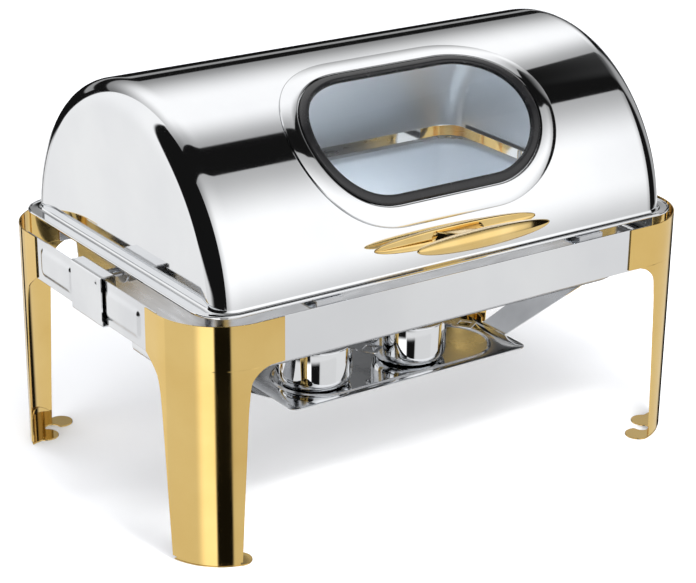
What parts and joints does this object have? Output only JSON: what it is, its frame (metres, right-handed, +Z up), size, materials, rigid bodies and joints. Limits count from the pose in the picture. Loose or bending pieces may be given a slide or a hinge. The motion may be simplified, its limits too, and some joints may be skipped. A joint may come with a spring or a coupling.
{
  "type": "chafing dish food warmer",
  "caption": "Roll-top chafing dish: polished rolling lid with an oval window, food pan in a water pan, gold coloured legs and handle, and a hung tray with covered fuel holders.",
  "frame": {"origin": "on the floor under the middle of the whole object's box", "axes": "+X along the dish to its right end, -Y towards the side with the handle, +Z up"},
  "size_m": [0.6244, 0.439, 0.43],
  "materials": {
    "polished_steel": "mirror polished stainless steel",
    "satin_steel": "satin stainless steel",
    "gold_steel": "mirror polished gold coloured steel",
    "rubber": "matt black",
    "glass": "clear tempered"
  },
  "bodies": {
    "stand": {"leg_front_left": "gold_steel", "foot_front_left": "gold_steel", "leg_front_right": "gold_steel", "foot_front_right": "gold_steel", "leg_back_left": "gold_steel", "foot_back_left": "gold_steel", "leg_back_right": "gold_steel", "foot_back_right": "gold_steel", "apron_front": "polished_steel", "apron_back": "polished_steel", "side_panel_left": "polished_steel", "hinge_saddle_left": "polished_steel", "hinge_pin_left": "satin_steel", "hinge_nut_left": "satin_steel", "front_rest_left": "satin_steel", "pivot_block_left": "satin_steel", "side_panel_right": "polished_steel", "hinge_saddle_right": "polished_steel", "hinge_pin_right": "satin_steel", "hinge_nut_right": "satin_steel", "front_rest_right": "satin_steel", "pivot_block_right": "satin_steel", "water_pan": "satin_steel"},
    "lid": {"lid_shell": "polished_steel", "window_frame": "polished_steel", "window_gasket": "rubber", "window_glass": "glass", "window_retainer": "satin_steel", "handle": "gold_steel", "handle_screw_left": "satin_steel", "hinge_plate_left": "satin_steel", "handle_screw_right": "satin_steel", "hinge_plate_right": "satin_steel"},
    "food": {"food_pan": "satin_steel"},
    "tray": {"fuel_tray": "polished_steel"},
    "holder_left": {"fuel_holder_left": "polished_steel", "cover_rivet_left": "satin_steel"},
    "cover_left": {"holder_cover_left": "polished_steel"},
    "holder_right": {"fuel_holder_right": "polished_steel", "cover_rivet_right": "satin_steel"},
    "cover_right": {"holder_cover_right": "polished_steel"}
  },
  "joints": [
    {"name": "lid_hinge", "type": "hinge", "parent": "stand", "child": "lid", "pos_m": [0, 0.01649, 0.242], "axis": [-1, 0, 0], "range_deg": [0, 90]},
    {"name": "food_pan_lift", "type": "slide", "parent": "stand", "child": "food", "axis": [0, 0, 1], "range_m": [0, 0.07]},
    {"name": "tray_slide", "type": "slide", "parent": "stand", "child": "tray", "axis": [0, -1, 0], "range_m": [0, 0.028]},
    {"name": "holder_lift_left", "type": "slide", "parent": "tray", "child": "holder_left", "axis": [0, 0, 1], "range_m": [0, 0.012]},
    {"name": "cover_pivot_left", "type": "hinge", "parent": "holder_left", "child": "cover_left", "pos_m": [-0.11353, -0.01528, 0.1512], "axis": [0, 0, -1], "range_deg": [0, 50]},
    {"name": "holder_lift_right", "type": "slide", "parent": "tray", "child": "holder_right", "axis": [0, 0, 1], "range_m": [0, 0.012]},
    {"name": "cover_pivot_right", "type": "hinge", "parent": "holder_right", "child": "cover_right", "pos_m": [0.00647, -0.01528, 0.1512], "axis": [0, 0, -1], "range_deg": [0, 50]}
  ]
}
